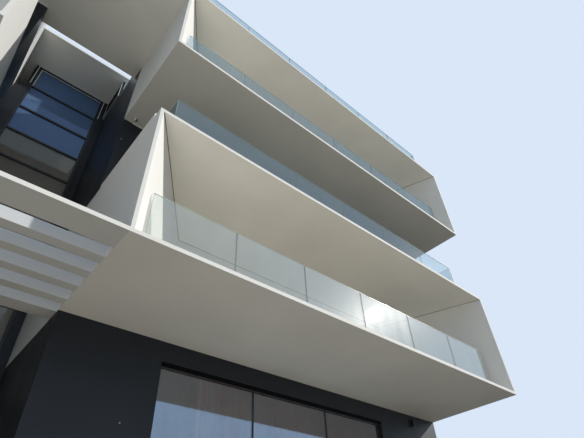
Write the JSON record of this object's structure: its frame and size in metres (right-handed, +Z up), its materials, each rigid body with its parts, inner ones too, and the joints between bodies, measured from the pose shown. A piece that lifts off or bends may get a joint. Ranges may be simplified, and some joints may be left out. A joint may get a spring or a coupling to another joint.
{
  "type": "apartment block",
  "caption": "Apartment block with white slab terraces, splayed box balconies, frameless glass balustrades, a recessed stair bay, a slatted canopy and dark lower storeys.",
  "frame": {"origin": "centre of the footprint box at ground level", "axes": "+Z up, -Y towards the street front, +X to the right when facing the front"},
  "size_m": [27.09, 13, 16.772],
  "materials": {
    "white_render": "smooth off-white masonry paint",
    "grey_render": "light grey masonry paint",
    "charcoal_cladding": "satin charcoal wall cladding",
    "floor_concrete": "bare concrete floor",
    "rail_glass": "clear toughened glass with a pale green tint",
    "window_glass": "grey tinted double glazing"
  },
  "bodies": {
    "root": {"ground_slab": "floor_concrete", "first_floor_slab": "floor_concrete", "terrace_slab_2": "white_render", "terrace_slab_3": "white_render", "terrace_slab_4": "white_render", "roof_slab_right": "white_render", "roof_slab_left": "white_render", "pergola": "white_render", "canopy": "white_render", "lower_wall_right": "charcoal_cladding", "lower_wall_left": "charcoal_cladding", "lower_side_walls": "charcoal_cladding", "lower_back_wall": "charcoal_cladding", "front_wall_right_2": "white_render", "front_wall_right_3": "charcoal_cladding", "front_wall_right_4": "white_render", "front_wall_left_2": "charcoal_cladding", "front_wall_left_3": "white_render", "front_wall_left_4": "charcoal_cladding", "side_walls_white": "white_render", "side_walls_dark": "charcoal_cladding", "back_wall_2": "white_render", "back_wall_3": "white_render", "back_wall_4": "white_render", "balcony_cheeks_right_2": "white_render", "balcony_cheeks_right_4": "white_render", "balcony_cheeks_left_3": "white_render", "balcony_panels_right_2": "white_render", "balcony_panels_right_4": "white_render", "balcony_panels_left_3": "white_render", "well_wall_right": "charcoal_cladding", "bay_wall": "charcoal_cladding", "bay_glazing": "window_glass", "stair_head": "grey_render", "roof_screen": "charcoal_cladding", "rails_2": "rail_glass", "rails_3": "rail_glass", "rails_4": "rail_glass", "roof_rails": "rail_glass", "window_glass_0": "window_glass", "window_glass_1": "window_glass", "window_glass_2": "window_glass", "window_glass_3": "window_glass", "window_glass_4": "window_glass"}
  },
  "joints": []
}
